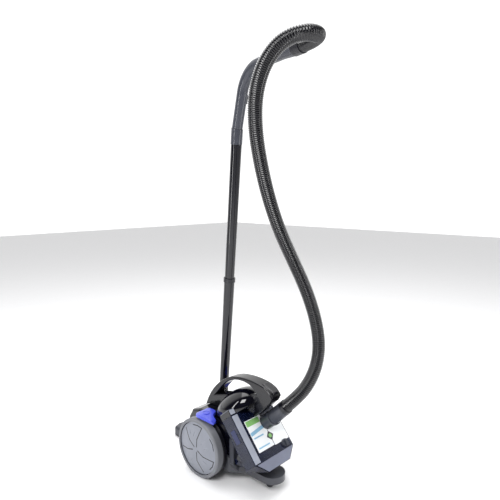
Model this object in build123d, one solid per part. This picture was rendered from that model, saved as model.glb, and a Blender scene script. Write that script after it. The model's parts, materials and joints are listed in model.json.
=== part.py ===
from build123d import *
import math
import os

# Canister vacuum cleaner with a clear cyclone bin, a ribbed hose and a two-piece wand.
# Millimetres. Origin: on the floor under the middle of the rear axle. +Z up, the nose points to -Y,
# +X is the side of the hose inlet. Every clearance between separate pieces is GAP unless named.

GAP = 0.3

# --- rear wheels -------------------------------------------------------------------------------
WHEEL_R = 90.0
WHEEL_WIDTH = 40.0
TRACK_OUTER = 114.0            # from the middle of the machine to a wheel's outer face
RIM_R = 82.0
TYRE_SHOULDER = 3.0
TYRE_WIDTH = 25.0              # the rest of the wheel's width is its dark inner flange
HUB_R = 15.0
AXLE_R = 6.0
RUNNING_GAP = 0.08             # radial clearance of a wheel on its stub axle

# --- body and chassis --------------------------------------------------------------------------
BODY_HALF = 68.0               # half width of the casing between the wheels
WALL = 2.8
BASE_Z = 30.0                  # underside of the chassis
SPLIT_Z = 84.0                 # joint between the chassis tub and the upper casing
TONGUE_HALF = 38.0
NOSE_Y = -200.0                # swivel axis of the front caster
NOSE_R = 38.0
TONGUE_TOP = 50.0

# --- leaning dust bin --------------------------------------------------------------------------
LEAN_DEG = 40.0
BIN_FOOT = (-212.0, 106.0)     # y, z of the lower edge of the bin's front face
BIN_HALF = 84.0                # half width at the front
BIN_REAR_HALF = 63.0           # half width between the casing's cheeks
BIN_SHOULDER = 50.0            # depth of the wide front part
BIN_DEPTH = 105.0
BIN_HEIGHT = 150.0
BIN_WALL = 2.4
CHEEK_DEPTH = 53.0             # the casing's cheeks reach forward to this depth

# --- hose and tubes ----------------------------------------------------------------------------
HOSE_R = 19.0
TUBE_R = 17.0                  # wide end of a wand section
TUBE_TIP_R = 15.4              # narrow end of a wand section
TUBE_WALL = 1.8

_lean = math.radians(LEAN_DEG)
LEAN_AXIS = Vector(0, math.sin(_lean), math.cos(_lean))
# local axes of LEAN: x across, y into the machine from the bin's front face, z up along the bin
LEAN = Plane(origin=(0, *BIN_FOOT), x_dir=(1, 0, 0), z_dir=LEAN_AXIS)

PARTS = {}


def add(name, shape):
    """Keep one finished piece under its own name."""
    PARTS[name] = shape


def side_prism(points, half_width):
    """Solid with the given outline in the YZ plane, centred on x = 0."""
    face = make_face(Polyline(*points, close=True))
    return extrude(Plane.YZ * face, amount=half_width, both=True)


def tube(r_out, r_in, length):
    """Straight tube from z = 0 upwards."""
    ring = Circle(r_out) - Circle(r_in)
    return extrude(ring, amount=length)


def cone_tube(r_low, r_high, wall, length):
    """Tapered tube from z = 0 upwards."""
    centre = Pos(0, 0, length / 2)
    solid = centre * Cone(r_low, r_high, length)
    hollow = centre * Cone(r_low - wall, r_high - wall, length)
    return solid - hollow


def ring_x(r_out, r_in, x_low, x_high, y, z):
    """Ring or disc whose axis runs along X."""
    section = Circle(r_out) - Circle(r_in) if r_in > 0 else Circle(r_out)
    place = Plane(origin=(x_low, y, z), x_dir=(0, 1, 0), z_dir=(1, 0, 0))
    return extrude(place * section, amount=x_high - x_low)


def coil_spring(radius, wire_r, height, turns):
    """Helical spring from z = 0 upwards."""
    path = Helix(pitch=height / turns, height=height, radius=radius)
    start = Plane(origin=path @ 0, z_dir=path % 0)
    return sweep(start * Circle(wire_r), path=path)


# --- wheels ------------------------------------------------------------------------------------
AXLE_Z = WHEEL_R
WHEEL_INNER = TRACK_OUTER - WHEEL_WIDTH
COVER_R = 78.7
COVER_DOME = 4.0
GROOVE_WIDTH = 3.0
GROOVE_DEPTH = 1.4
# bold grooves of the hub cover: chains of (radius as a share of COVER_R, clock angle in degrees)
COVER_GROOVES = [
    [(0.92, 42), (0.49, 24), (0.16, 5)],
    [(0.90, 73), (0.90, 89), (0.90, 105), (0.36, 89), (0.05, 60)],
    [(0.90, 138), (0.92, 153), (0.90, 167)],
    [(0.92, -14), (0.59, -22), (0.29, -26)],
    [(0.09, -108), (0.39, -145), (0.91, -165), (0.92, -151), (0.90, -138)],
    [(0.17, -80), (0.50, -87), (0.92, -110)],
]
# fine grooves between them
COVER_LINES = [
    [(0.48, 65), (0.74, 82)],
    [(0.42, 166), (0.80, 159)],
    [(0.50, -131), (0.86, -143)],
    [(0.35, 132), (0.86, 140)],
    [(0.60, 50), (0.80, 56)],
    [(0.62, -60), (0.86, -58)],
]


def wheel_body(side):
    """Moulded wheel: rim, web and hub with a blind bore for the stub axle."""
    rim = ring_x(RIM_R, RIM_R - 3, WHEEL_INNER, TRACK_OUTER - 4, 0, AXLE_Z)
    rim += ring_x(WHEEL_R - 3, RIM_R - 3, WHEEL_INNER, TRACK_OUTER - TYRE_WIDTH, 0, AXLE_Z)
    web = ring_x(RIM_R, 0, TRACK_OUTER - 14, TRACK_OUTER - 10.3, 0, AXLE_Z)
    hub = ring_x(HUB_R, 0, WHEEL_INNER, TRACK_OUTER - 10.3, 0, AXLE_Z)
    solid = rim + web + hub
    for turn in range(6):
        rib = Pos(TRACK_OUTER - 22, 0, (RIM_R + HUB_R) / 2 - 1) * Box(18, 3, RIM_R - HUB_R)
        solid += Pos(0, 0, AXLE_Z) * Rot(X=60 * turn) * rib
    bore = ring_x(AXLE_R + RUNNING_GAP, 0, WHEEL_INNER - 1, TRACK_OUTER - 14, 0, AXLE_Z)
    solid -= bore
    return solid if side > 0 else mirror(solid, about=Plane.YZ)


def tyre(side):
    """Soft tread ring with rounded shoulders."""
    inner = TRACK_OUTER - TYRE_WIDTH
    section = make_face(Polyline(
        (inner, RIM_R), (inner, WHEEL_R - 1),
        (inner + 1, WHEEL_R), (TRACK_OUTER - TYRE_SHOULDER - 1, WHEEL_R),
        (TRACK_OUTER - 1, WHEEL_R - TYRE_SHOULDER), (TRACK_OUTER - 1, RIM_R - 2),
        (TRACK_OUTER - 4, RIM_R - 2), (TRACK_OUTER - 4, RIM_R), close=True))
    ring = Pos(0, 0, AXLE_Z) * revolve(Plane.XZ * section, axis=Axis.X)
    return ring if side > 0 else mirror(ring, about=Plane.YZ)


def groove_cuts(chain, width, depth):
    """Boxes that sink one chain of straight grooves into the crown of the cover."""
    points = [(share * COVER_R * math.cos(math.radians(a)), share * COVER_R * math.sin(math.radians(a)))
              for share, a in chain]
    cuts = []
    for (y0, z0), (y1, z1) in zip(points, points[1:]):
        span = math.hypot(y1 - y0, z1 - z0) + width * 0.8
        angle = math.degrees(math.atan2(z1 - z0, y1 - y0))
        middle = math.hypot((y0 + y1) / 2, (z0 + z1) / 2) / COVER_R
        skin = TRACK_OUTER - (COVER_DOME + 1) * middle ** 2
        mid = Pos(skin + 5 - depth, (y0 + y1) / 2, AXLE_Z + (z0 + z1) / 2)
        cuts.append(mid * Rot(X=angle) * Box(10, span, width))
    return cuts


def hub_cover(side):
    """Domed cover pressed into the wheel, with moulded grooves on its outer face."""
    low = TRACK_OUTER - 10
    edge = TRACK_OUTER - COVER_DOME - 1
    outline = Polyline((edge, COVER_R), (low, COVER_R), (low, 0), (TRACK_OUTER, 0))
    crown = ThreePointArc((TRACK_OUTER, 0), (TRACK_OUTER - 1.2, COVER_R / 2), (edge, COVER_R))
    section = make_face(outline + crown)
    solid = Pos(0, 0, AXLE_Z) * revolve(Plane.XZ * section, axis=Axis.X)
    cuts = []
    for chain in COVER_GROOVES:
        cuts += groove_cuts(chain, GROOVE_WIDTH, GROOVE_DEPTH)
    for chain in COVER_LINES:
        cuts += groove_cuts(chain, GROOVE_WIDTH / 3, GROOVE_DEPTH / 3)
    solid -= cuts
    return solid if side > 0 else mirror(solid, about=Plane.YZ)


def stub_axles():
    """Pair of steel stubs pressed through the chassis ears into their bosses."""
    solid = ring_x(AXLE_R, 0, 50, TRACK_OUTER - 15, 0, AXLE_Z)
    return Compound([solid, mirror(solid, about=Plane.YZ)])


for _side, _name in ((-1, "left"), (1, "right")):
    add(f"wheel_{_name}", wheel_body(_side))
    add(f"tyre_{_name}", tyre(_side))
    add(f"hub_cover_{_name}", hub_cover(_side))
add("stub_axles", stub_axles())


# --- chassis -----------------------------------------------------------------------------------
EAR_HALF = 64.0
EAR_THICK = 6.0
STRUT_TOP = (-116.0, 140.0)


def chassis_base():
    """Lower tub with a rounded tongue to the nose, two axle ears and two front struts."""
    plan = make_face(Polyline((-BODY_HALF, 92), (-BODY_HALF, -88), (-TONGUE_HALF, -128),
                              (-TONGUE_HALF, NOSE_Y), (TONGUE_HALF, NOSE_Y), (TONGUE_HALF, -128),
                              (BODY_HALF, -88), (BODY_HALF, 92), close=True))
    nose = Pos(0, NOSE_Y) * Circle(NOSE_R)
    outline = plan + nose
    tub = extrude(Pos(0, 0, BASE_Z) * outline, amount=SPLIT_Z - BASE_Z)
    hollow = extrude(Pos(0, 0, BASE_Z + WALL) * offset(outline, amount=-WALL), amount=SPLIT_Z)
    # the tongue is lower than the tub and closed on top
    lower = side_prism([(-260, TONGUE_TOP), (-106, TONGUE_TOP), (-84, SPLIT_Z), (-84, 140), (-260, 140)], 90)
    deck = extrude(Pos(0, 0, TONGUE_TOP - WALL) * outline, amount=WALL)
    deck &= side_prism([(-260, 0), (-104, 0), (-104, 100), (-260, 100)], 90)
    solid = tub - hollow - lower + deck
    caster_well = Pos(0, NOSE_Y, BASE_Z) * Cylinder(NOSE_R - 8, 2 * (TONGUE_TOP - WALL - BASE_Z))
    solid -= caster_well
    socket = Pos(0, NOSE_Y, TONGUE_TOP - WALL - 5) * (Cylinder(9, 11) - Cylinder(4.05, 12))
    solid += socket
    for side in (-1, 1):
        x = side * (EAR_HALF - EAR_THICK / 2)
        ear = Pos(x, 0, (BASE_Z + AXLE_Z + 14) / 2) * Box(EAR_THICK, 40, AXLE_Z + 14 - BASE_Z)
        boss = ring_x(11, 0, 52, EAR_HALF, 0, AXLE_Z)
        solid += ear + (boss if side > 0 else mirror(boss, about=Plane.YZ))
    strut = make_face(Polyline((-72, 140), (-68.3, 140), (-68.3, 64), (-48, 46), (-52, 36), (-72, 66),
                               close=True))
    strut = extrude(Plane(origin=(0, -97, 0), x_dir=(1, 0, 0), z_dir=(0, -1, 0)) * strut, amount=16)
    solid += strut + mirror(strut, about=Plane.YZ)
    bores = ring_x(AXLE_R, 0, -70, 70, 0, AXLE_Z)
    return solid - bores


add("chassis_base", chassis_base())


def front_caster():
    """Swivel fork with a short spigot, its roller and the roller's pin."""
    trail = 7.0
    roller_r = 14.0
    y = NOSE_Y + trail
    plate = Pos(0, NOSE_Y + trail / 2, roller_r + 19) * Box(24, 26, 3)
    cheeks = [Pos(side * 10.5, y, roller_r + 9) * Box(3, 12, 24) for side in (-1, 1)]
    spigot = Pos(0, NOSE_Y, roller_r + 25) * Cylinder(4.0, 12)
    bore = ring_x(2.0, 0, -20, 20, y, roller_r)
    fork = plate + cheeks + spigot - bore
    roller = fillet(ring_x(roller_r, 0, -8, 8, y, roller_r).edges(), 3)
    roller -= ring_x(2.0 + 0.06, 0, -10, 10, y, roller_r)
    pin = ring_x(2.0, 0, -12, 12, y, roller_r)
    return fork, roller, pin


_fork, _roller, _pin = front_caster()
add("caster_fork", _fork)
add("caster_wheel", _roller)
add("caster_pin", _pin)


# --- upper casing ------------------------------------------------------------------------------
def lean_side(depth, height):
    """y, z of a point on the bin's side view, from its depth and its height along the lean."""
    point = LEAN.from_local_coords(Vector(0, depth, height))
    return point.Y, point.Z


CORD_X = 47.0
BUSH_R = 7.0
REAR_OUTLINE = [(94, SPLIT_Z + GAP), (98, 112), (92, 148), (76, 174), (44, 186), (4, 190)]


PEDAL_PLAN = [(110, -2), (107, -22), (95, -54), (81, -50), (77, -34), (69, -26), (56, -22), (52, -14),
              (52, 18), (98, 18), (108, 9)]
PEDAL_UNDER = 186.0
PEDAL_TRAVEL = 5.0


def pedal_plan():
    """Outline of a foot pedal seen from above, on the right side."""
    return make_face(Polyline(*PEDAL_PLAN, close=True))


def casing_outline():
    """Side view of the motor casing with its forward cheeks."""
    top_front = lean_side(CHEEK_DEPTH, 138)
    low_front = lean_side(CHEEK_DEPTH, 12)
    return [(-104, SPLIT_Z + GAP), low_front, top_front] + REAR_OUTLINE[::-1]


def body_shell():
    """Glossy motor casing: hollow rear, open bay for the bin between two cheeks."""
    face = make_face(Polyline(*casing_outline(), close=True))
    solid = extrude(Plane.YZ * face, amount=BODY_HALF, both=True)
    for end in (-1, 1):
        rim = solid.faces().sort_by(Axis.X)[0 if end < 0 else -1].edges()
        rim = [e for e in rim if e.center().Z > SPLIT_Z + 2]
        solid = fillet(rim, 9)
    back = BIN_DEPTH + 1.2
    bay = side_prism([lean_side(back, -80), lean_side(back, 260), lean_side(-80, 260), lean_side(-80, -80)],
                     BODY_HALF - WALL)
    bulkhead = back + WALL
    cavity_face = offset(make_face(Polyline(*casing_outline(), close=True)), amount=-WALL)
    cavity = extrude(Plane.YZ * cavity_face, amount=BODY_HALF - WALL, both=True)
    cavity += side_prism([(-100, 60), (-100, 92), (88, 92), (88, 60)], BODY_HALF - WALL)
    rear_half = side_prism([lean_side(bulkhead, -140), lean_side(bulkhead, 260), (300, 300), (300, -60)], 100)
    cavity &= rear_half
    solid = solid - bay - cavity
    duct = LEAN * Pos(0, back, 108) * Rot(X=90) * Cylinder(24, 20)
    solid -= duct
    for side in (-1, 1):
        slot = Pos(0, 0, PEDAL_UNDER - PEDAL_TRAVEL - 1) * offset(pedal_plan(), amount=GAP)
        slot = extrude(slot, amount=40)
        solid -= slot if side > 0 else mirror(slot, about=Plane.YZ)
    grille = Pos(0, 96, 116) * Box(72, 30, 40)
    solid -= grille
    axle_slots = Pos(0, 0, (SPLIT_Z + AXLE_Z) / 2) * Box(4 * BODY_HALF, 13, AXLE_Z - SPLIT_Z + 13)
    solid -= axle_slots
    cord_hole = Pos(CORD_X, 96, 104) * Rot(X=90) * Cylinder(BUSH_R, 30)
    return solid - cord_hole


add("body_shell", body_shell())


# --- dust bin ----------------------------------------------------------------------------------
SIDE_VIEW = [lean_side(0, BIN_HEIGHT), BIN_FOOT, (-229, 79), (-113, 62), lean_side(BIN_DEPTH, BIN_HEIGHT)]
PLAN = [(-BIN_HALF, 0), (BIN_HALF, 0), (BIN_HALF, BIN_SHOULDER), (BIN_REAR_HALF, BIN_SHOULDER),
        (BIN_REAR_HALF, BIN_DEPTH), (-BIN_REAR_HALF, BIN_DEPTH), (-BIN_REAR_HALF, BIN_SHOULDER),
        (-BIN_HALF, BIN_SHOULDER)]
FRONT_VIEW = [(-BIN_HALF, BIN_HEIGHT), (-BIN_HALF, 0), (-38, -40), (38, -40), (BIN_HALF, 0),
              (BIN_HALF, BIN_HEIGHT)]


def bin_form(inset, extra_top):
    """The bin's outer form, or the form of its inside when inset is the wall."""
    side = make_face(Polyline(*SIDE_VIEW, close=True))
    plan = make_face(Polyline(*PLAN, close=True))
    plan = fillet(plan.vertices(), 4)
    front = make_face(Polyline(*FRONT_VIEW, close=True))
    if inset:
        side, plan, front = (offset(face, amount=-inset) for face in (side, plan, front))
    body = extrude(Plane.YZ * side, amount=BIN_HALF, both=True)
    column = extrude(LEAN * Pos(0, 0, -140) * plan, amount=340)
    wedge = extrude(LEAN * Plane.XZ * front, amount=BIN_DEPTH + 60, both=True)
    form = body & column & wedge
    if extra_top:
        mouth = offset(fillet(make_face(Polyline(*PLAN, close=True)).vertices(), 4), amount=-inset)
        form += extrude(LEAN * Pos(0, 0, BIN_HEIGHT - inset - 1) * mouth, amount=extra_top)
    return form


def bin_body():
    """Clear box with a funnel-shaped foot, open at the top and at the rear duct."""
    solid = bin_form(0, 0) - bin_form(BIN_WALL, 10)
    duct = LEAN * Pos(0, BIN_DEPTH, 108) * Rot(X=90) * Cylinder(24, 10)
    return solid - duct



# --- lid, handle and release button --------------------------------------------------------------
DOME_AXES = (74.0, 90.0, 54.0)     # across, along the bin's depth, along the lean
DOME_CENTRE = (-75.0, 205.0)
HANDLE_HALF = 21.0
LID_PLATE = 16.0
HANDLE_OUTER = [(60, 188), (40, 226), (4, 267), (-54, 301), (-112, 311), (-162, 309), (-198, 298), (-215, 281)]
HANDLE_INNER = [(16, 226), (-8, 254), (-24, 271), (-46, 287), (-80, 298), (-110, 299), (-138, 291), (-154, 276)]


def dome(shrink):
    """Half-egg over the bin, lying along the lean."""
    egg = scale(Sphere(1), by=tuple(axis - shrink for axis in DOME_AXES))
    place = Plane(origin=(0, *DOME_CENTRE), x_dir=(1, 0, 0), z_dir=LEAN_AXIS)
    return place * egg


def lid_clearance():
    """Room that the lid leaves for the casing's top, its cheeks and the two pedals."""
    back = [lean_side(BIN_DEPTH + GAP, 60), lean_side(BIN_DEPTH + GAP, 201), (60, 191.8), (60, 60)]
    cheek = [lean_side(BIN_SHOULDER + 1, 60), lean_side(BIN_SHOULDER + 1, 155), (60, 191.8), (60, 60)]
    cuts = side_prism(back, 120)
    cuts += side_prism(cheek, 120) - side_prism(cheek, BIN_REAR_HALF + 1.5)
    for side in (-1, 1):
        cuts += Pos(side * 90, 0, 180) * Box(2 * 39, 64, 40)
    return cuts


def bin_lid():
    """Domed lid with a plate that closes the bin and a skirt that drops inside its mouth."""
    plan = fillet(make_face(Polyline(*PLAN, close=True)).vertices(), 4)
    plate = extrude(LEAN * Pos(0, 0, BIN_HEIGHT + GAP) * plan, amount=LID_PLATE)
    above = LEAN * Pos(0, BIN_DEPTH / 2, BIN_HEIGHT + GAP + 100) * Box(300, 400, 200)
    solid = plate + (dome(0) & above) - lid_clearance()
    hollow = dome(WALL) & (LEAN * Pos(0, BIN_DEPTH / 2, BIN_HEIGHT + 103) * Box(300, 400, 200))
    pocket = extrude(LEAN * Pos(0, 0, BIN_HEIGHT - 2) * offset(plan, amount=-7), amount=LID_PLATE - 1)
    return solid - hollow - pocket


def carry_handle():
    """Arched handle from the casing's rear over the lid to a broad front end."""
    crest = Spline(*HANDLE_OUTER)
    under = Polyline(HANDLE_OUTER[-1], (-206, 262), (-168, 222), (-150, 206), (-120, 222), (-40, 222),
                     (-6, 192.4), (4, 191.8), (45, 187.7), (58, 182.6), HANDLE_OUTER[0])
    solid = extrude(Plane.YZ * make_face(crest + under), amount=HANDLE_HALF, both=True)
    bow = Spline(*HANDLE_INNER)
    sill = Line(HANDLE_INNER[-1], HANDLE_INNER[0])
    solid -= extrude(Plane.YZ * make_face(bow + sill), amount=2 * HANDLE_HALF, both=True)
    for end in (0, -1):
        solid = fillet(solid.faces().sort_by(Axis.X)[end].edges().filter_by(
            lambda e: e.center().Z > 230 and e.length > 40), 4)
    return solid


handle_solid = carry_handle()
lid_solid = bin_lid()
button_well = Plane(origin=(0, -190, 294.0), x_dir=(1, 0, 0), z_dir=(0, -0.38, 0.925)) * Box(24, 46, 24)
spring_well = Plane(origin=(0, -190, 294.0), x_dir=(1, 0, 0), z_dir=(0, -0.38, 0.925)) * Cylinder(6, 50)
handle_solid = handle_solid - dome(-GAP) - button_well - spring_well
add("bin_lid", lid_solid)
add("carry_handle", handle_solid)


def release_button():
    """Long button let into the handle's front end, with a stem into its spring well."""
    place = Plane(origin=(0, -190, 294.0), x_dir=(1, 0, 0), z_dir=(0, -0.38, 0.925))
    cap = fillet((Pos(0, 0, 3) * Box(23.2, 45.2, 12)).edges().filter_by(Axis.Z), 4)
    cap = fillet(cap.faces().sort_by(Axis.Z)[-1].edges(), 2.5)
    stem = Pos(0, 0, -7) * Cylinder(3, 10)
    spring = Pos(0, 0, -24) * coil_spring(4.6, 0.5, 11.5, 5)
    return place * (cap + stem), place * spring


_button, _button_spring = release_button()
add("release_button", _button)
add("release_spring", _button_spring)


# --- cyclone inside the bin ----------------------------------------------------------------------
CYCLONE_DEPTH = 54.0


def cyclone_cone():
    """Hollow cone that hangs from the lid."""
    cone = Pos(0, CYCLONE_DEPTH, 84) * (Cone(13, 25, 80) - Cone(11.4, 23.4, 80))
    flange = Pos(0, CYCLONE_DEPTH, 126) * (Cylinder(36, 4) - Cylinder(23.4, 4))
    return LEAN * (cone + flange)


def mesh_shroud():
    """Slotted sleeve round the cone, open at its foot."""
    sleeve = Pos(0, CYCLONE_DEPTH, 92) * (Cylinder(33, 63) - Cylinder(31, 63))
    slots = []
    for turn in range(16):
        slots.append(Pos(0, CYCLONE_DEPTH, 92) * Rot(Z=22.5 * turn) * Pos(32, 0, 0) * Box(6, 5, 46))
    return LEAN * (sleeve - slots)


def lid_gasket():
    """Soft ring between the lid's plate and the bin's rim."""
    plan = fillet(make_face(Polyline(*PLAN, close=True)).vertices(), 4)
    ring = offset(plan, amount=-3) - offset(plan, amount=-6)
    return extrude(LEAN * Pos(0, 0, BIN_HEIGHT + GAP - 1.2) * ring, amount=1.2)


add("cyclone_cone", cyclone_cone())
add("mesh_shroud", mesh_shroud())


# --- inlet elbow, cuff and hose --------------------------------------------------------------------
INLET_X = 25.0
INLET_HEIGHT = 91.0                # along the bin, from the foot of its front face
ELBOW_REACH = 42.0
ELBOW_R = 22.5
CUFF_R = 20.5
CUFF_LENGTH = 50.0
RING_LENGTH = 12.0
CUFF_DIR = Vector(8, -67, 69).normalized()
INLET = LEAN * Pos(INLET_X, 0, INLET_HEIGHT) * Rot(X=90)     # z out of the bin's front face
_face = (LEAN * Pos(INLET_X, -ELBOW_REACH, INLET_HEIGHT)).position
CUFF = Plane(origin=_face, z_dir=CUFF_DIR)


def inlet_elbow():
    """Socket on the bin's front face that the hose cuff plugs against."""
    body = tube(ELBOW_R, ELBOW_R - 3, ELBOW_REACH) + tube(ELBOW_R, ELBOW_R - 6.5, 3)
    spigot = Pos(0, 0, -9) * tube(ELBOW_R - 4.1, ELBOW_R - 6.5, 9)
    band = Pos(0, 0, ELBOW_REACH - 8) * tube(ELBOW_R + 1.5, ELBOW_R - 3, 8)
    return INLET * (body + spigot + band)


def hose_cuff():
    """Cuff that meets the elbow on a slant and carries the hose's swivel ring."""
    body = Pos(0, 0, -14) * tube(CUFF_R + 1, CUFF_R - 2.5, CUFF_LENGTH + 14)
    beyond = INLET * Pos(0, 0, ELBOW_REACH + GAP + 60) * Box(160, 160, 120)
    return (CUFF * body) & beyond


def cuff_ring():
    """Black ring that lets the hose turn in its cuff."""
    ring = Pos(0, 0, CUFF_LENGTH + GAP) * tube(CUFF_R + 0.5, 16, RING_LENGTH - 2 * GAP)
    return CUFF * ring


KNOB_BORE = LEAN * Pos(52, 0, 14) * Rot(X=90) * Cylinder(3.06, 12)
_port = INLET * Pos(0, 0, -12) * Cylinder(ELBOW_R - 4, 30)
_bin = bin_body() - _port - KNOB_BORE
add("bin_body", _bin)
add("inlet_elbow", inlet_elbow())
add("hose_cuff", hose_cuff())
add("cuff_ring", cuff_ring())


# --- wand frame ------------------------------------------------------------------------------------
WAND_FOOT = Vector(112, 130, 0)
WAND_AXIS = Vector(-0.0501, -0.1273, 0.9906).normalized()
_toward_user = Vector(-0.20, -0.98, 0)
GRIP_SIDE = (_toward_user - WAND_AXIS * _toward_user.dot(WAND_AXIS)).normalized()
SOCKET = 30.0                      # how far one tube plugs into the next
WAND = Plane(origin=WAND_FOOT, x_dir=GRIP_SIDE, z_dir=WAND_AXIS)
NECK_TOP = 92.0
JOINT_S = 583.0
UPPER_TOP = 1009.0
COLLAR_LENGTH = 48.0
GRIP_CORNER = (29.0, 218.0)        # sideways, along the wand from the collar's foot
GRIP_END = (243.0, 254.0)
GRIP_BEND_R = 95.0
SWIVEL_LENGTH = 30.0


def wand_point(sideways, along):
    """Point in space from the wand's own coordinates."""
    return WAND.from_local_coords(Vector(sideways, 0, along))


def wand_section(low, high):
    """Tube with a straight plug at its foot, a slight taper, and a socket bore at its wide end."""
    plug = WAND * Pos(0, 0, low) * tube(TUBE_TIP_R, TUBE_TIP_R - TUBE_WALL, SOCKET)
    body = WAND * Pos(0, 0, low + SOCKET) * cone_tube(TUBE_TIP_R, TUBE_R, TUBE_WALL, high - low - SOCKET)
    bore = WAND * Pos(0, 0, high - SOCKET) * (Pos(0, 0, SOCKET / 2) * Cylinder(TUBE_TIP_R + 0.05, SOCKET + 0.6))
    return plug + body - bore


GRIP_START = wand_point(0, UPPER_TOP + COLLAR_LENGTH)
GRIP_ELBOW = wand_point(GRIP_CORNER[0], UPPER_TOP + GRIP_CORNER[1])
GRIP_TIP = wand_point(GRIP_END[0], UPPER_TOP + GRIP_END[1])
GRIP_DIR = (GRIP_TIP - GRIP_ELBOW).normalized()
HOSE_END = GRIP_TIP + GRIP_DIR * (SWIVEL_LENGTH + GAP)
HOSE_START = CUFF.from_local_coords(Vector(0, 0, CUFF_LENGTH + RING_LENGTH))

# the hose's route, from the canister's cuff to the handle
HOSE_ROUTE = [
    (33, -249, 268), (51, -279, 307), (71, -298, 363), (89, -297, 425), (91, -281, 500),
    (80, -254, 584), (56, -223, 668), (20, -202, 755), (-20, -199, 840), (-62, -208, 925),
    (-97, -220, 1010), (-120, -240, 1086), (-136, -278, 1146), (-139, -322, 1184),
    (-130, -360, 1201), (-105, -383, 1208), (-70, -383, 1213), (-38, -366, 1219),
]
HOSE_LEAD = 30.0                   # the hose leaves its swivel square to it for this far


def suction_hose():
    """The hose as a plain tube along straight runs joined by tangent arcs."""
    points = [HOSE_START] + [Vector(*p) for p in HOSE_ROUTE] + [HOSE_END + GRIP_DIR * HOSE_LEAD, HOSE_END]
    runs = [b - a for a, b in zip(points, points[1:])]
    radii = []
    for before, after in zip(runs, runs[1:]):
        half_turn = math.radians(before.get_angle(after)) / 2
        radii.append(0.45 * min(before.length, after.length) / math.tan(half_turn))
    print("hose ends", HOSE_START, HOSE_END, GRIP_DIR, CUFF_DIR)
    print("hose radii", [round(r) for r in radii])
    path = FilletPolyline(*points, radius=radii)
    start = Plane(origin=points[0], z_dir=path % 0)
    section = start * (Circle(HOSE_R) - Circle(HOSE_R - 3))
    hose = sweep(section, path=path)
    area = math.pi * (HOSE_R ** 2 - (HOSE_R - 3) ** 2)
    print("hose length", round(path.length), "volume ratio", round(hose.volume / (area * path.length), 4))
    return hose


add("suction_hose", suction_hose())


# --- wand, handle grip and swivel ------------------------------------------------------------------
def grip_path(low, high):
    """The grip's bent centreline, cut to a share of its length."""
    start = wand_point(0, UPPER_TOP + COLLAR_LENGTH + GAP)
    return FilletPolyline(start, GRIP_ELBOW, GRIP_TIP, radius=GRIP_BEND_R).trim(low, high)


GRIP_R = 16.5
GRIP_WALL = 2.4
REGULATOR_AT = 0.235               # share of the grip's length


def handle_grip():
    """Bent hand tube from the wand's collar to the hose swivel, thicker towards the hose."""
    path = grip_path(0, 1)
    start = Plane(origin=path @ 0, z_dir=path % 0)
    body = sweep(start * (Circle(GRIP_R) - Circle(GRIP_R - GRIP_WALL)), path=path)
    end = Plane(origin=GRIP_TIP, z_dir=-GRIP_DIR)
    socket = end * cone_tube(GRIP_R + 3.5, GRIP_R, GRIP_WALL, 46)
    port = Plane(origin=path @ REGULATOR_AT, x_dir=path % REGULATOR_AT, z_dir=WAND.y_dir)
    return body + socket - port * Pos(0, 0, 20) * Box(16, 10, 20)


def grip_collar():
    """Ring that clips the grip to the upper tube, its upper end cut square to the grip."""
    ring = WAND * Pos(0, 0, UPPER_TOP + GAP) * tube(GRIP_R + 1.6, TUBE_R - TUBE_WALL, COLLAR_LENGTH + 6)
    path = grip_path(0, 1)
    above = Plane(origin=path @ 0, z_dir=path % 0) * Pos(0, 0, 40 - GAP) * Box(80, 80, 80)
    return ring - above


def suction_regulator():
    """Sliding cover over the grip's bleed port."""
    path = grip_path(0, 1)
    place = Plane(origin=path @ REGULATOR_AT, x_dir=path % REGULATOR_AT, z_dir=WAND.y_dir)
    saddle = Pos(0, 0, 0) * Rot(Y=90) * (Cylinder(GRIP_R + 2.4, 26) - Cylinder(GRIP_R + 0.35, 40))
    saddle &= Pos(0, 0, 20) * Box(60, 22, 20)
    ridge = Pos(4, 0, GRIP_R + 3.2) * Box(4, 16, 3.4)
    return place * (saddle + ridge)


def hose_swivel():
    """Dark ring between the grip and the hose."""
    place = Plane(origin=GRIP_TIP + GRIP_DIR * GAP, z_dir=GRIP_DIR)
    return place * tube(GRIP_R + 4.5, HOSE_R - 3, SWIVEL_LENGTH - GAP)


add("wand_lower", wand_section(NECK_TOP - SOCKET + 2, JOINT_S))
add("wand_upper", wand_section(JOINT_S - SOCKET + 1, UPPER_TOP))
add("wand_joint_ring", WAND * Pos(0, 0, JOINT_S - 12) * tube(TUBE_R + 2, TUBE_R + 0.02, 13))
add("grip_collar", grip_collar())
add("handle_grip", handle_grip())
add("suction_regulator", suction_regulator())
add("hose_swivel", hose_swivel())

# --- floor head ------------------------------------------------------------------------------------
HEAD_AXIS = Vector(-0.78, 0.63, 0).normalized()
PIVOT_B = 10.0
PIVOT_Z = 26.0
BARREL_R = 14.0
CHEEK = 24.0
HEAD = Plane(origin=(WAND_FOOT.X, WAND_FOOT.Y, 0), x_dir=HEAD_AXIS, z_dir=(0, 0, 1))
# outline of the head from above: along its width, and forwards from the wand's foot
HEAD_PLAN = [(-110, -16), (110, -16), (148, 0), (166, 20), (150, 46), (112, 66),
             (-112, 66), (-150, 46), (-166, 20), (-148, 0)]
HEAD_FLIP = -1 if HEAD.y_dir.dot(Vector(0.63, 0.78, 0)) < 0 else 1
HEAD_SOLE_Z = (4.0, 8.0)
ROLLER_R = 8.0


def head_face(inset):
    """Plan outline of the floor head."""
    face = make_face(Polyline(*[(a, HEAD_FLIP * b) for a, b in HEAD_PLAN], close=True))
    face = fillet(face.vertices(), 12)
    return offset(face, amount=-inset) if inset else face


def head_spot(along, forward, z):
    """Location on the floor head."""
    return HEAD * Pos(along, HEAD_FLIP * forward, z)


def head_rod(radius, low, high, forward, z):
    """Rod along the head's width."""
    return head_spot((low + high) / 2, forward, z) * Rot(Y=90) * Cylinder(radius, high - low)


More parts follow.
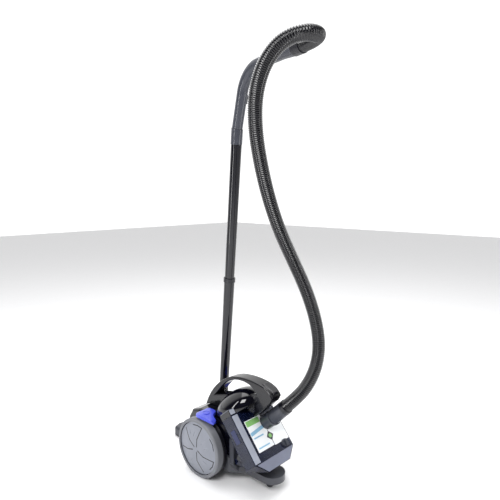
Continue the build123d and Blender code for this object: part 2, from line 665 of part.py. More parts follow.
def head_body():
    """Low hood with a slot for the neck, cheeks for its pivot and roller wells."""
    hood = extrude(HEAD * Pos(0, 0, HEAD_SOLE_Z[1] + GAP) * head_face(0), amount=27)
    hood = fillet(hood.faces().sort_by(Axis.Z)[-1].edges(), 9)
    inside = extrude(HEAD * Pos(0, 0, HEAD_SOLE_Z[1] - 1) * head_face(2.6), amount=24)
    inside = fillet(inside.faces().sort_by(Axis.Z)[-1].edges(), 6)
    solid = hood - inside
    slot = head_spot(0, 5, 40) * Box(2 * CHEEK, 90, 80)
    for end in (-1, 1):
        cheek = head_spot(end * (CHEEK + 1.5), PIVOT_B + 4, 22) * Box(3, 44, 27)
        solid += cheek
        solid += head_spot(end * (CHEEK + 3.5), PIVOT_B, PIVOT_Z) * Rot(Y=90) * Cylinder(7, 7)
    solid -= slot
    for end in (-1, 1):
        solid -= head_rod(4.05, end * 40 - 20, end * 40 + 20, PIVOT_B, PIVOT_Z)
    solid -= head_spot(0, 56, 34) * Box(30, 16, 12)
    return solid


def head_sole():
    """Flat sole plate with the suction slot, grooves for the brushes and roller openings."""
    low, high = HEAD_SOLE_Z
    plate = extrude(HEAD * Pos(0, 0, low) * head_face(0.4), amount=high - low)
    plate -= head_spot(0, 40, (low + high) / 2) * Box(236, 14, 10)
    for forward in BRUSH_ROWS:
        plate -= head_spot(0, forward, low) * Box(236.4, 5.4, 4)
    for end in (-1, 1):
        plate -= head_spot(end * 112, 4, (low + high) / 2) * Box(16, 22, 10)
    return plate


BRUSH_ROWS = (24.0, 56.0)


def brush_strip(forward):
    """Strip of bristles in its groove."""
    low = HEAD_SOLE_Z[0]
    return head_spot(0, forward, low - 0.6) * Box(236, 5, 4.8)


def head_roller(end):
    """Small roller near one end of the head."""
    return head_rod(ROLLER_R, end * 112 - 5, end * 112 + 5, 4, ROLLER_R) - head_rod(
        2.06, end * 112 - 6, end * 112 + 6, 4, ROLLER_R)


def head_pins():
    """Pin through the cheeks and the neck's barrel, and two roller pins with their saddles."""
    pins = [head_rod(4.0, -CHEEK - 6, CHEEK + 6, PIVOT_B, PIVOT_Z)]
    for end in (-1, 1):
        pin = head_rod(2.0, end * 112 - 7.9, end * 112 + 7.9, 4, ROLLER_R)
        for side in (-1, 1):
            pin += head_spot(end * 112 + side * 7, 4, ROLLER_R + 3.2) * Box(2.4, 8, 6)
        pins.append(pin)
    return Compound(pins)


def head_neck():
    """Barrel on the pivot with the tube that the wand plugs into."""
    barrel = head_rod(BARREL_R, -CHEEK + 0.8, CHEEK - 0.8, PIVOT_B, PIVOT_Z)
    pivot = (head_spot(0, PIVOT_B, PIVOT_Z)).position
    top = WAND.from_local_coords(Vector(0, 0, NECK_TOP))
    way = top - pivot
    stem = Plane(origin=pivot, z_dir=way.normalized()) * Cylinder(
        TUBE_R + 1.5, way.length - 30, align=(Align.CENTER, Align.CENTER, Align.MIN))
    cup = WAND * Pos(0, 0, NECK_TOP - 34) * Cylinder(TUBE_R + 2.5, 34, align=(Align.CENTER, Align.CENTER, Align.MIN))
    bore = WAND * Pos(0, 0, NECK_TOP - SOCKET) * Cylinder(TUBE_TIP_R + 0.08, 60,
                                                        align=(Align.CENTER, Align.CENTER, Align.MIN))
    pin_bore = head_rod(4.05, -40, 40, PIVOT_B, PIVOT_Z)
    return barrel + stem + cup - bore - pin_bore


def head_pedal():
    """Carpet and hard-floor rocker on top of the hood."""
    cap = head_spot(0, 56, 33.5) * Box(29, 15, 9)
    return fillet(cap.faces().sort_by(Axis.Z)[-1].edges(), 1.5)


add("head_body", head_body())
add("head_sole", head_sole())
add("brush_strips", Compound([brush_strip(row) for row in BRUSH_ROWS]))
add("head_roller_left", head_roller(1))
add("head_roller_right", head_roller(-1))
add("head_pins", head_pins())
add("head_neck", head_neck())
add("head_pedal", head_pedal())

# --- pedals and their springs ----------------------------------------------------------------------
PEDAL_X = 59.0
PEDAL_PROFILE = [(20, PEDAL_UNDER), (20, 191), (10, 194), (-6, 195), (-26, 193), (-46, 186), (-58, 174),
                 (-44, 177), (-24, 183.5), (-6, PEDAL_UNDER)]


def foot_pedal(side):
    """Pedal that overhangs the wheel, with a stem that stands on its spring."""
    plan = fillet(pedal_plan().vertices(), 3.5)
    solid = extrude(Pos(0, 0, 150) * plan, amount=80) & side_prism(PEDAL_PROFILE, 140)
    ring = Pos(82, -8, 194.2) * Rot(Z=20) * (Cylinder(11, 2.4) - Cylinder(9.6, 4))
    stem = Pos(PEDAL_X, 4, 178) * Box(7, 7, 20)
    foot = Pos(PEDAL_X, 4, 167.2) * Cylinder(5.2, 2.0)
    solid = solid + stem + foot + ring
    return solid if side > 0 else mirror(solid, about=Plane.YZ)


SPRING_LOW = 150.8
SPRING_HIGH = 165.4


def pedal_spring(side):
    """Compression spring under a pedal's stem."""
    spring = Pos(side * PEDAL_X, 4, SPRING_LOW) * coil_spring(4.4, 0.5, SPRING_HIGH - SPRING_LOW, 6)
    return spring


def pedal_block(side):
    """Block on the casing's wall that carries the pedal's spring."""
    block = Pos((BODY_HALF - WALL) - 7.2, 4, 140) * Box(14, 24, 20)
    return block if side > 0 else mirror(block, about=Plane.YZ)


add("power_pedal", foot_pedal(-1))
add("rewind_pedal", foot_pedal(1))
add("power_spring", pedal_spring(-1))
add("rewind_spring", pedal_spring(1))
add("power_switch", pedal_block(-1))
add("rewind_brake", pedal_block(1))

# --- motor ------------------------------------------------------------------------------------------
MOTOR_YZ = (20.0, 100.0)
FAN_R = 46.0
CAN_R = 36.0


def motor_ring(r_out, r_in, low, high):
    """Ring on the motor's axis."""
    return ring_x(r_out, r_in, low, high, *MOTOR_YZ)


def motor_casing():
    """Fan drum and motor can in one shell, open at the fan's eye."""
    drum = motor_ring(FAN_R + 4, FAN_R + 1.5, 12, 46) + motor_ring(FAN_R + 4, CAN_R - 3, 12, 14)
    drum += motor_ring(FAN_R + 4, 20, 44, 46)
    can = motor_ring(CAN_R, CAN_R - 2.5, -20, 14) + motor_ring(CAN_R, 9, -20, -17)
    diffuser = motor_ring(CAN_R - 2, 9, 12, 14)
    holes = []
    for turn in range(8):
        holes.append(Pos(13, MOTOR_YZ[0], MOTOR_YZ[1]) * Rot(X=45 * turn) * Pos(0, 0, 27) * Box(6, 8, 8))
    return drum + can + diffuser - holes


def motor_rotor():
    """Shaft with the wound rotor."""
    return motor_ring(4, 0, -22, 40) + motor_ring(18, 3.5, -12, 6)


def motor_fan():
    """Fan wheel: two discs with curved blades between them."""
    solid = motor_ring(FAN_R, 4.0, 20, 22) + motor_ring(FAN_R, 20, 36, 37.5) + motor_ring(8, 4.0, 20, 38)
    for turn in range(8):
        blade = Pos(29, 0, 28) * Rot(X=28) * Box(15, 1.6, 28)
        solid += Pos(0, *MOTOR_YZ) * Rot(X=45 * turn) * blade
    return solid & motor_ring(FAN_R, 4.0, 20, 38)


def motor_mount(low, high, r_out, r_in):
    """Rubber ring with a foot on the tub's floor."""
    foot_top = 66
    foot = Pos((low + high) / 2, MOTOR_YZ[0], (BASE_Z + WALL + foot_top) / 2)
    foot = foot * Box(high - low, 44, foot_top - BASE_Z - WALL)
    return motor_ring(r_out, r_in, low, high) + (foot - motor_ring(r_in + 0.5, 0, low - 1, high + 1))


add("motor_casing", motor_casing())
add("motor_stator", motor_ring(CAN_R - 2.6, 19, -13, 8))
add("motor_rotor", motor_rotor())
add("motor_fan", motor_fan())
add("motor_bearings", Compound([motor_ring(9, 4.05, -20, -16.8), motor_ring(9, 4.05, 10.6, 14.2)]))
add("motor_mounts", Compound([motor_mount(-18, -10, CAN_R + 4, CAN_R), motor_mount(26, 36, FAN_R + 5.5, FAN_R + 4)]))

# --- cord reel --------------------------------------------------------------------------------------
REEL_YZ = (25.0, 105.0)
REEL_R = 57.0


def reel_ring(r_out, r_in, low, high):
    """Ring on the cord reel's axis."""
    return ring_x(r_out, r_in, low, high, *REEL_YZ)


def reel_bracket():
    """Upright plate from the tub's floor with the spindle that the reel turns on."""
    height = REEL_YZ[1] + 16 - BASE_Z - WALL
    plate = Pos(-23.6, REEL_YZ[0], BASE_Z + WALL + height / 2) * Box(2.4, 40, height)
    return plate - motor_ring(9.5, 0, -30, -20) + reel_ring(4.0, 0, -47.3, -22.8)


add("cord_reel", reel_ring(REEL_R, 4.06, -28, -26.4) + reel_ring(REEL_R, 22.6, -47.5, -46)
    + reel_ring(25, 22.6, -47.5, -28) + reel_ring(25, 4.06, -30, -28))
add("reel_spring_case", reel_ring(22, 4.0, -47.2, -31))
add("reel_bracket", reel_bracket())
add("cord_outlet_bush", Pos(CORD_X, 0, 104) * Rot(X=90) * Pos(0, 0, -92.3) * (
    Cylinder(BUSH_R - 0.05, 12) + Pos(0, 0, -7.1) * Cylinder(BUSH_R + 2, 2.6) - Cylinder(4, 40)))

# --- filters ----------------------------------------------------------------------------------------
FILTER_HEIGHT = 108.0
FILTER_AXIS = LEAN * Pos(0, BIN_DEPTH + 1.2 + WALL + GAP, FILTER_HEIGHT) * Rot(X=-90)
add("pre_motor_filter", FILTER_AXIS * Pos(0, 0, 5) * Cylinder(23.5, 10))
add("filter_frame", FILTER_AXIS * (Pos(0, 0, 5) * (Cylinder(27, 10) - Cylinder(23.6, 12))))
add("exhaust_filter", Pos(0, 88.4, 116) * Box(66, 3, 36))


def exhaust_grille():
    """Louvred panel in the casing's rear opening."""
    frame = Pos(0, 92.2, 116) * (Box(71.4, 3.6, 39.4) - Box(65, 8, 33))
    slats = [Pos(0, 92.2, 116 + 5.5 * step) * Rot(X=25) * Box(66, 3.4, 1.6) for step in range(-2, 3)]
    return frame + slats


add("exhaust_grille", exhaust_grille())

# --- small pieces on the bin --------------------------------------------------------------------------
KNOB_X = 52.0
KNOB_HEIGHT = 14.0
KNOB = LEAN * Pos(KNOB_X, 0, KNOB_HEIGHT) * Rot(X=90)
_grip_bar = fillet((Pos(0, 0, 9) * Box(6, 20, 6)).edges().filter_by(Axis.Z), 2)
add("bin_knob", KNOB * (Pos(0, 0, 3.3) * Cylinder(11.5, 6) + _grip_bar + Pos(0, 0, -2) * Cylinder(3.0, 6)))
add("lid_gasket", lid_gasket())

os.makedirs("parts", exist_ok=True)
for _name, _shape in PARTS.items():
    export_step(_shape, f"parts/{_name}.step")
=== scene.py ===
import bmesh
import bpy
import json
import math
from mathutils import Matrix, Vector


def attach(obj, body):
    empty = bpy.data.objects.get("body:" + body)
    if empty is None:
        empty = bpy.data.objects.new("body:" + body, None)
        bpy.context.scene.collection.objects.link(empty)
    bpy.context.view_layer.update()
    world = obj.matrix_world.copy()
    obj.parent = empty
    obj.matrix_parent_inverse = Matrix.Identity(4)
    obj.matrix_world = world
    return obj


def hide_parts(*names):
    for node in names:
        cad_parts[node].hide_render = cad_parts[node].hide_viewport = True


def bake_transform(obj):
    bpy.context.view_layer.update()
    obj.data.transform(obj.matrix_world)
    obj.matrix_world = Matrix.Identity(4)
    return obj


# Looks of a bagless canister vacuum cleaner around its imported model. Metres.

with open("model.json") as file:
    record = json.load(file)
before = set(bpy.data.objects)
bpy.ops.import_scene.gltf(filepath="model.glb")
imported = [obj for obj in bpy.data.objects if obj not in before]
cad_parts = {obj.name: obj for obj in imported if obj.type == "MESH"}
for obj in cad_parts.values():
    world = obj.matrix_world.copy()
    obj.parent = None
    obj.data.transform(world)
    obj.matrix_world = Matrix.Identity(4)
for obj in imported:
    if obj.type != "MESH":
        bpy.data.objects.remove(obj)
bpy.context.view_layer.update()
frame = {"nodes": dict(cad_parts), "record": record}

# --- places shared with the model --------------------------------------------------------------
LEAN = math.radians(40)
BIN_FOOT = Vector((0, -0.212, 0.106))
ACROSS = Vector((1, 0, 0))
INWARD = Vector((0, math.cos(LEAN), -math.sin(LEAN)))
ALONG = Vector((0, math.sin(LEAN), math.cos(LEAN)))
BIN_HALF = 0.084
AXLE_Z = 0.09
TRACK_OUTER = 0.114
COVER_R = 0.0787
COVER_DOME = 0.005
GROOVE_HALF = 0.0015
GROOVE_PROUD = 0.0001
GROOVE_SUNK = 0.0008
FUNNEL_LOW = Vector((0, -0.229, 0.079))
HOSE_R = 0.019
RIB_PITCH = 0.0053
RIB_DEPTH = 0.0022

# the hose's route, from the canister's cuff to the handle
HOSE_ROUTE = [
    (0.0301, -0.2287, 0.2470), (0.033, -0.249, 0.268), (0.051, -0.279, 0.307), (0.071, -0.298, 0.363),
    (0.089, -0.297, 0.425), (0.091, -0.281, 0.500), (0.080, -0.254, 0.584), (0.056, -0.223, 0.668),
    (0.020, -0.202, 0.755), (-0.020, -0.199, 0.840), (-0.062, -0.208, 0.925), (-0.097, -0.220, 1.010),
    (-0.120, -0.240, 1.086), (-0.136, -0.278, 1.146), (-0.139, -0.322, 1.184), (-0.130, -0.360, 1.201),
    (-0.105, -0.383, 1.208), (-0.070, -0.383, 1.213), (-0.038, -0.366, 1.219), (-0.0108, -0.3259, 1.2203),
    (-0.0047, -0.2965, 1.2193),
]


def bin_point(x, depth, height):
    """Point given across the bin, into it from its front face, and up along its lean."""
    return BIN_FOOT + ACROSS * x + INWARD * depth + ALONG * height


# --- materials ----------------------------------------------------------------------------------
def node(tree, kind, **inputs):
    """Add a shader node and set its plain inputs."""
    made = tree.nodes.new(kind)
    for name, value in inputs.items():
        made.inputs[name.replace("_", " ")].default_value = value
    return made


def plastic(name, colour, roughness, grain=900.0, bump=0.03, variation=0.08, coat=0.0, painted_edge_highlight=0.0,
            metallic=0.0, alpha=1.0):
    """Moulded surface: fine grain in the bump, soft patches in colour and roughness, and an optional painted
    highlight on convex edges.
    """
    material = bpy.data.materials.new(name)
    material.use_nodes = True
    tree = material.node_tree
    shader = tree.nodes["Principled BSDF"]
    shader.inputs["Metallic"].default_value = metallic
    shader.inputs["Coat Weight"].default_value = coat
    shader.inputs["Coat Roughness"].default_value = 0.06
    shader.inputs["Alpha"].default_value = alpha
    place = tree.nodes.new("ShaderNodeTexCoord")
    patches = node(tree, "ShaderNodeTexNoise", Scale=14.0, Detail=4.0, Roughness=0.6)
    fine = node(tree, "ShaderNodeTexNoise", Scale=grain, Detail=2.0, Roughness=0.5)
    for texture in (patches, fine):
        tree.links.new(place.outputs["Object"], texture.inputs["Vector"])
    tone = tree.nodes.new("ShaderNodeValToRGB")
    low = [channel * (1 - variation) for channel in colour]
    high = [min(1, channel * (1 + variation)) for channel in colour]
    tone.color_ramp.elements[0].position = 0.3
    tone.color_ramp.elements[0].color = (*low, 1)
    tone.color_ramp.elements[1].position = 0.7
    tone.color_ramp.elements[1].color = (*high, 1)
    tree.links.new(patches.outputs["Fac"], tone.inputs["Fac"])
    colour_out = tone.outputs["Color"]
    # painted highlight: convex edges, found by pointiness, are lightened as if they caught the light
    if painted_edge_highlight:
        geometry = tree.nodes.new("ShaderNodeNewGeometry")
        edge = node(tree, "ShaderNodeMapRange", From_Min=0.52, From_Max=0.60, To_Max=painted_edge_highlight)
        tree.links.new(geometry.outputs["Pointiness"], edge.inputs["Value"])
        mix = tree.nodes.new("ShaderNodeMix")
        mix.data_type = "RGBA"
        mix.inputs["B"].default_value = (*[min(1, channel * 2 + 0.05) for channel in colour], 1)
        tree.links.new(edge.outputs["Result"], mix.inputs["Factor"])
        tree.links.new(colour_out, mix.inputs["A"])
        colour_out = mix.outputs["Result"]
    tree.links.new(colour_out, shader.inputs["Base Color"])
    rough = node(tree, "ShaderNodeMapRange", To_Min=max(0.02, roughness * 0.85), To_Max=roughness * 1.15)
    tree.links.new(patches.outputs["Fac"], rough.inputs["Value"])
    tree.links.new(rough.outputs["Result"], shader.inputs["Roughness"])
    relief = node(tree, "ShaderNodeBump", Strength=bump, Distance=0.0004)
    tree.links.new(fine.outputs["Fac"], relief.inputs["Height"])
    tree.links.new(relief.outputs["Normal"], shader.inputs["Normal"])
    return material


def brushed(name, colour):
    """Turned metal with fine streaks."""
    material = plastic(name, colour, 0.3, grain=400, bump=0.05, metallic=1.0)
    stretch = material.node_tree.nodes.new("ShaderNodeMapping")
    stretch.inputs["Scale"].default_value = (8, 1, 1)
    place = material.node_tree.nodes["Texture Coordinate"]
    material.node_tree.links.new(place.outputs["Object"], stretch.inputs["Vector"])
    fine = [n for n in material.node_tree.nodes if n.type == "TEX_NOISE"][1]
    material.node_tree.links.new(stretch.outputs["Vector"], fine.inputs["Vector"])
    return material


LOOKS = {
    "dark_plastic": plastic("dark_plastic", (0.006, 0.006, 0.010), 0.28, bump=0.05),
    "tyre_grey": plastic("tyre_grey", (0.15, 0.155, 0.172), 0.55, grain=1500, bump=0.3, variation=0.1),
    # wheel_grey, chassis_grey and cuff_grey carry a painted highlight on their convex edges
    "wheel_grey": plastic("wheel_grey", (0.20, 0.213, 0.25), 0.34, grain=1200, bump=0.12, painted_edge_highlight=0.2),
    "steel": brushed("steel", (0.6, 0.61, 0.63)),
    "chassis_grey": plastic("chassis_grey", (0.040, 0.042, 0.052), 0.30, grain=1400, bump=0.1,
                            painted_edge_highlight=0.12),
    "gloss_black": plastic("gloss_black", (0.002, 0.002, 0.005), 0.06, bump=0.0, coat=0.2),
    "handle_black": plastic("handle_black", (0.004, 0.004, 0.006), 0.14, bump=0.02),
    "navy_plastic": plastic("navy_plastic", (0.004, 0.007, 0.035), 0.18, coat=0.4),
    "rubber_black": plastic("rubber_black", (0.010, 0.010, 0.011), 0.6, grain=1600, bump=0.3),
    "cuff_grey": plastic("cuff_grey", (0.035, 0.038, 0.050), 0.22, grain=1300, bump=0.05, painted_edge_highlight=0.12),
    "hose_black": plastic("hose_black", (0.003, 0.003, 0.005), 0.16, bump=0.01, coat=0.2),
    "tube_black": plastic("tube_black", (0.003, 0.003, 0.006), 0.08, bump=0.01, coat=0.2),
    "bristle": plastic("bristle", (0.02, 0.02, 0.026), 0.8, grain=3000, bump=0.9),
    "pedal_blue": plastic("pedal_blue", (0.035, 0.055, 0.55), 0.24, bump=0.05, coat=0.3),
    "aluminium": brushed("aluminium", (0.7, 0.71, 0.73)),
    "filter_foam": plastic("filter_foam", (0.16, 0.165, 0.18), 0.9, grain=700, bump=0.9),
    "bin_clear": plastic("bin_clear", (0.006, 0.010, 0.034), 0.05, bump=0.0, coat=0.2, alpha=0.66),
}
SLOTS = {entry["node"]: entry["material_slot"] for entry in frame["record"]["subparts"]}


def give(obj, look):
    """Replace every material of an object with one."""
    obj.data.materials.clear()
    obj.data.materials.append(LOOKS[look])


for name, obj in frame["nodes"].items():
    give(obj, SLOTS[name])


# --- building helpers -----------------------------------------------------------------------------
def mesh_object(name, verts, faces, smooth=True):
    """Object from plain lists."""
    mesh = bpy.data.meshes.new(name)
    mesh.from_pydata(verts, [], faces)
    mesh.validate()
    for face in mesh.polygons:
        face.use_smooth = smooth
    obj = bpy.data.objects.new(name, mesh)
    bpy.context.scene.collection.objects.link(obj)
    return obj


def rings_mesh(name, rings):
    """Skin over a list of closed rings of points."""
    verts = [point for ring in rings for point in ring]
    sides = len(rings[0])
    faces = []
    for row in range(len(rings) - 1):
        for side in range(sides):
            after = (side + 1) % sides
            faces.append((row * sides + side, row * sides + after,
                          (row + 1) * sides + after, (row + 1) * sides + side))
    faces.append(tuple(reversed(range(sides))))
    faces.append(tuple(range(len(verts) - sides, len(verts))))
    return mesh_object(name, verts, faces)


def plate(name, corners, thickness, outward, look, bevel=0.0008):
    """Thin bevelled plate with any outline, standing on the plane of its corners."""
    bottom = [Vector(corner) for corner in corners]
    top = [corner + outward * thickness for corner in bottom]
    count = len(bottom)
    faces = [tuple(reversed(range(count))), tuple(range(count, 2 * count))]
    for side in range(count):
        after = (side + 1) % count
        faces.append((side, after, count + after, count + side))
    obj = mesh_object(name, bottom + top, faces, smooth=False)
    shape = bmesh.new()
    shape.from_mesh(obj.data)
    bmesh.ops.recalc_face_normals(shape, faces=shape.faces)
    offset = min(bevel, thickness * 0.45)
    bmesh.ops.bevel(shape, geom=shape.edges[:], offset=offset, segments=2, affect="EDGES")
    shape.to_mesh(obj.data)
    shape.free()
    give(obj, look)
    return obj


# --- hose ---------------------------------------------------------------------------------------
def spline_points(route):
    """Points on the smooth line through the route's control points."""
    curve = bpy.data.curves.new("hose_line", "CURVE")
    curve.dimensions = "3D"
    curve.resolution_u = 24
    spline = curve.splines.new("NURBS")
    spline.points.add(len(route) - 1)
    for point, place in zip(spline.points, route):
        point.co = (*place, 1)
    spline.order_u = 3
    spline.use_endpoint_u = True
    holder = bpy.data.objects.new("hose_line", curve)
    line = bpy.data.meshes.new_from_object(holder)
    points = [vertex.co.copy() for vertex in line.vertices]
    bpy.data.objects.remove(holder)
    bpy.data.curves.remove(curve)
    bpy.data.meshes.remove(line)
    return points


def even_points(points, step):
    """The same line with points at an even step."""
    gaps = [(b - a).length for a, b in zip(points, points[1:])]
    total = sum(gaps)
    count = round(total / step)
    spots = []
    index, passed = 0, 0.0
    for k in range(count + 1):
        want = total * k / count
        while index < len(gaps) - 1 and passed + gaps[index] < want:
            passed += gaps[index]
            index += 1
        share = (want - passed) / gaps[index]
        spots.append(points[index].lerp(points[index + 1], min(1, share)))
    return spots


def carried_frames(points):
    """Side vectors carried along a line without twist."""
    frames = []
    side = None
    for index, point in enumerate(points):
        before = points[max(0, index - 1)]
        after = points[min(len(points) - 1, index + 1)]
        ahead = (after - before).normalized()
        if side is None:
            side = ahead.orthogonal().normalized()
        side = (side - ahead * side.dot(ahead)).normalized()
        frames.append((side, ahead.cross(side)))
    return frames


def hose():
    """Ribbed hose along the route."""
    line = spline_points(HOSE_ROUTE)
    rings_per_rib = 6
    sides = 32
    points = even_points(line, RIB_PITCH / rings_per_rib)
    rings = []
    for index, (point, (side, other)) in enumerate(zip(points, carried_frames(points))):
        phase = (index % rings_per_rib) / rings_per_rib
        crest = 0.5 + 0.5 * math.cos(2 * math.pi * phase)
        radius = HOSE_R - RIB_DEPTH * (1 - crest ** 0.6)
        ring = []
        for k in range(sides):
            turn = 2 * math.pi * k / sides
            ring.append(point + (side * math.cos(turn) + other * math.sin(turn)) * radius)
        rings.append(ring)
    obj = rings_mesh("hose_ribbed", rings)
    give(obj, "hose_black")
    return obj, line


hose_piece, hose_line = hose()
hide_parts("suction_hose")
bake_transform(hose_piece)


# --- labels and bands on the bin --------------------------------------------------------------------
LOOKS["label_white"] = plastic("label_white", (0.86, 0.88, 0.90), 0.4, grain=2000, bump=0.02, variation=0.03)
LOOKS["label_green"] = plastic("label_green", (0.24, 0.52, 0.16), 0.4, bump=0.02, variation=0.2)
LOOKS["label_blue"] = plastic("label_blue", (0.28, 0.52, 0.72), 0.4, bump=0.02, variation=0.2)
LOOKS["label_dark"] = plastic("label_dark", (0.05, 0.05, 0.06), 0.4, bump=0.02)
# painted highlight: light grey for the bright edge of the bin's clear left margin, carried over the lid's
# left bar
LOOKS["band_painted_highlight"] = plastic("band_painted_highlight", (0.30, 0.32, 0.38), 0.24, grain=1300, bump=0.05, coat=0.3)
LABEL_THICK = 0.0005


def bin_plate(name, outline, look, lift=0.0, thickness=LABEL_THICK, body="dust_bin"):
    """Plate on the bin's front face, its outline given across the bin and up along it."""
    corners = [bin_point(x, -lift, height) for x, height in outline]
    obj = plate(name, corners, thickness, -INWARD, look)
    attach(obj, body)
    return obj


def rectangle(x_low, x_high, low, high):
    """Outline of an upright rectangle."""
    return [(x_low, low), (x_high, low), (x_high, high), (x_low, high)]


# painted light: pale lilac-grey for the lighter shading of the bin's tilted foot facet
LOOKS["facet_painted_light"] = plastic("facet_painted_light", (0.20, 0.215, 0.28), 0.16, bump=0.03, coat=0.5)
# painted shade: near-black for the shade inside the hub covers' grooves
LOOKS["groove_painted_shade"] = plastic("groove_painted_shade", (0.006, 0.006, 0.008), 0.5, bump=0.1)
LOOKS["label_sticker"] = plastic("label_sticker", (0.008, 0.014, 0.07), 0.35, bump=0.02)
bin_plate("label_front", rectangle(-0.052, 0.014, 0.024, 0.118), "label_white", lift=0.0002)
bin_plate("label_header", rectangle(-0.050, 0.004, 0.100, 0.116), "label_green", lift=0.0008)
bin_plate("label_band", [(-0.050, 0.072), (0.012, 0.080), (0.012, 0.090), (-0.050, 0.082)],
          "label_blue", lift=0.0008)
bin_plate("label_badge", [(0.000, 0.052), (0.014, 0.038), (0.028, 0.052), (0.014, 0.066)],
          "label_dark", lift=0.0010)
bin_plate("label_side", rectangle(0.016, 0.079, 0.022, 0.104), "label_white", lift=0.0002)
bin_plate("label_text_row_high", rectangle(-0.046, -0.006, 0.062, 0.066), "label_blue", lift=0.0008)
bin_plate("label_text_row_low", rectangle(-0.046, 0.000, 0.032, 0.036), "label_blue", lift=0.0008)
bin_plate("label_dot", [(0.014 + 0.006 * math.cos(k * math.pi / 8), 0.052 + 0.006 * math.sin(k * math.pi / 8))
                        for k in range(16)], "label_green", lift=0.0016)
# painted highlight: light-grey band along the bin's clear left margin
bin_plate("band_left", rectangle(-0.0835, -0.0615, 0.002, 0.147), "band_painted_highlight", lift=0.0002, thickness=0.0012)


def foot_facet():
    """Plate of painted light on the front of the bin's funnel, below its front face: pale colour for the
    tilted facet's lighter shading.
    """
    down = (FUNNEL_LOW - BIN_FOOT).normalized()
    outward = ACROSS.cross(down).normalized()
    if outward.y > 0:
        outward = -outward
    near, far = BIN_FOOT + down * 0.001, FUNNEL_LOW - down * 0.001
    corners = [near - ACROSS * 0.078, near + ACROSS * 0.078, far + ACROSS * 0.046, far - ACROSS * 0.046]
    corners = [corner + outward * 0.0003 for corner in corners]
    obj = plate("foot_facet", corners, 0.0008, outward, "facet_painted_light")
    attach(obj, "dust_bin")


def side_sticker():
    """Small dark sticker on the bin's left side."""
    x = -BIN_HALF - 0.0003
    spots = [(0.014, 0.072), (0.034, 0.072), (0.034, 0.112), (0.014, 0.112)]
    corners = [bin_point(x, depth, height) for depth, height in spots]
    obj = plate("side_sticker", corners, 0.0005, -ACROSS, "label_sticker")
    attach(obj, "dust_bin")


def lid_highlight_bars():
    """Bar of painted highlight that carries the bin's band of painted highlight over the lid."""
    base = [bin_point(x, -0.0004, height) for x, height in rectangle(-0.0835, -0.0650, 0.1515, 0.1655)]
    bar = plate("lid_bar_front", base, 0.001, -INWARD, "band_painted_highlight")
    top = [bin_point(x, depth, 0.1664) for x, depth in
           ((-0.0835, 0.001), (-0.0690, 0.001), (-0.0690, 0.046), (-0.0835, 0.046))]
    deck = plate("lid_bar_top", top, 0.001, ALONG, "band_painted_highlight")
    for obj in (bar, deck):
        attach(obj, "lid")


def groove_shade_fills():
    """Painted shade: dark strips in the bold grooves of both hub covers, as (share of radius, angle in
    degrees).
    """
    chains = [
        [(0.92, 42), (0.49, 24), (0.16, 5)],
        [(0.90, 73), (0.90, 89), (0.90, 105), (0.36, 89), (0.05, 60)],
        [(0.90, 138), (0.92, 153), (0.90, 167)],
        [(0.92, -14), (0.59, -22), (0.29, -26)],
        [(0.09, -108), (0.39, -145), (0.91, -165), (0.92, -151), (0.90, -138)],
        [(0.17, -80), (0.50, -87), (0.92, -110)],
    ]
    for side, body in ((-1, "wheel_left_body"), (1, "wheel_right_body")):
        for number, chain in enumerate(chains):
            flat = [Vector((share * math.cos(math.radians(angle)), share * math.sin(math.radians(angle)), 0))
                    for share, angle in chain]
            spots = even_points(flat, 0.03)
            rings = []
            for index, spot in enumerate(spots):
                ahead = (spots[min(len(spots) - 1, index + 1)] - spots[max(0, index - 1)]).normalized()
                across = Vector((0, -ahead.y, ahead.x)) * GROOVE_HALF
                skin = TRACK_OUTER - COVER_DOME * spot.length ** 2
                middle = Vector((side * skin, spot.x * COVER_R, AXLE_Z + spot.y * COVER_R))
                lift = Vector((side * GROOVE_PROUD, 0, 0))
                sink = Vector((side * -GROOVE_SUNK, 0, 0))
                rings.append([middle + across + lift, middle - across + lift,
                              middle - across + sink, middle + across + sink])
            obj = rings_mesh(f"groove_{body}_{number}", rings)
            for face in obj.data.polygons:
                face.use_smooth = False
            give(obj, "groove_painted_shade")
            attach(obj, body)


foot_facet()
side_sticker()
lid_highlight_bars()
groove_shade_fills()


# --- stage, light and camera ------------------------------------------------------------------------
def floor():
    """Pale floor."""
    obj = mesh_object("floor", [(-9, -9, 0), (9, -9, 0), (9, 9, 0), (-9, 9, 0)], [(0, 1, 2, 3)])
    LOOKS["floor"] = plastic("floor", (0.93, 0.93, 0.94), 0.6, grain=60, bump=0.0, variation=0.01)
    give(obj, "floor")


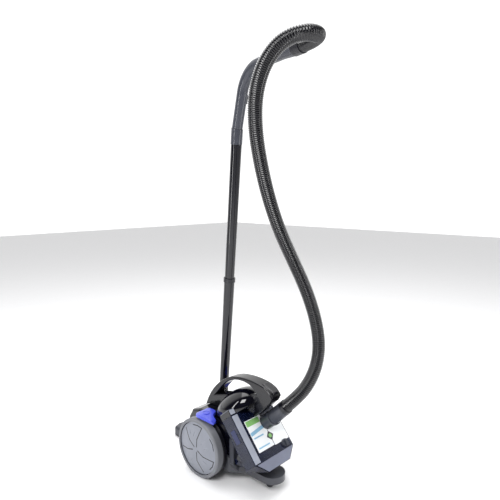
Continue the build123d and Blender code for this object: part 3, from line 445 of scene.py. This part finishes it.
def area_light(name, place, target, size, size_y, power):
    """Rectangular soft box that faces a point."""
    data = bpy.data.lights.new(name, "AREA")
    data.shape = "RECTANGLE"
    data.size = size
    data.size_y = size_y
    data.energy = power
    obj = bpy.data.objects.new(name, data)
    obj.location = place
    obj.rotation_euler = (Vector(target) - Vector(place)).to_track_quat("-Z", "Y").to_euler()
    bpy.context.scene.collection.objects.link(obj)


def lights():
    """White backdrop, dark room behind the viewer, a key from the left and two tall strips."""
    world = bpy.data.worlds.new("studio")
    world.use_nodes = True
    background = world.node_tree.nodes["Background"]
    place = world.node_tree.nodes.new("ShaderNodeTexCoord")
    toward = node(world.node_tree, "ShaderNodeVectorMath")
    toward.operation = "DOT_PRODUCT"
    toward.inputs[1].default_value = (0.69, 0.66, 0.30)
    world.node_tree.links.new(place.outputs["Generated"], toward.inputs[0])
    shade = node(world.node_tree, "ShaderNodeMapRange", From_Min=0.05, From_Max=0.40,
                 To_Min=0.06, To_Max=1.25)
    world.node_tree.links.new(toward.outputs["Value"], shade.inputs["Value"])
    world.node_tree.links.new(shade.outputs["Result"], background.inputs["Strength"])
    background.inputs["Color"].default_value = (1, 1, 1, 1)
    bpy.context.scene.world = world
    middle = (0, 0, 0.5)
    area_light("key", (-1.8, -0.9, 2.2), middle, 1.1, 1.1, 48)
    area_light("strip_left", (-2.2, 0.4, 1.0), middle, 0.22, 2.4, 22)
    area_light("strip_right", (0.9, -2.4, 1.1), middle, 0.26, 2.4, 22)
    area_light("overhead", (0.6, 0.4, 3.0), middle, 2.6, 2.6, 60)


def camera():
    """View from the front left, above the canister."""
    data = bpy.data.cameras.new("camera")
    data.sensor_width = 36
    data.lens = 34.83
    obj = bpy.data.objects.new("camera", data)
    obj.location = (-1.0128, -1.0523, 0.8544)
    obj.rotation_euler = (math.radians(83.233), 0, math.radians(-47.131))
    bpy.context.scene.collection.objects.link(obj)
    bpy.context.scene.camera = obj


floor()
lights()
camera()
bpy.context.scene.view_settings.view_transform = "Standard"
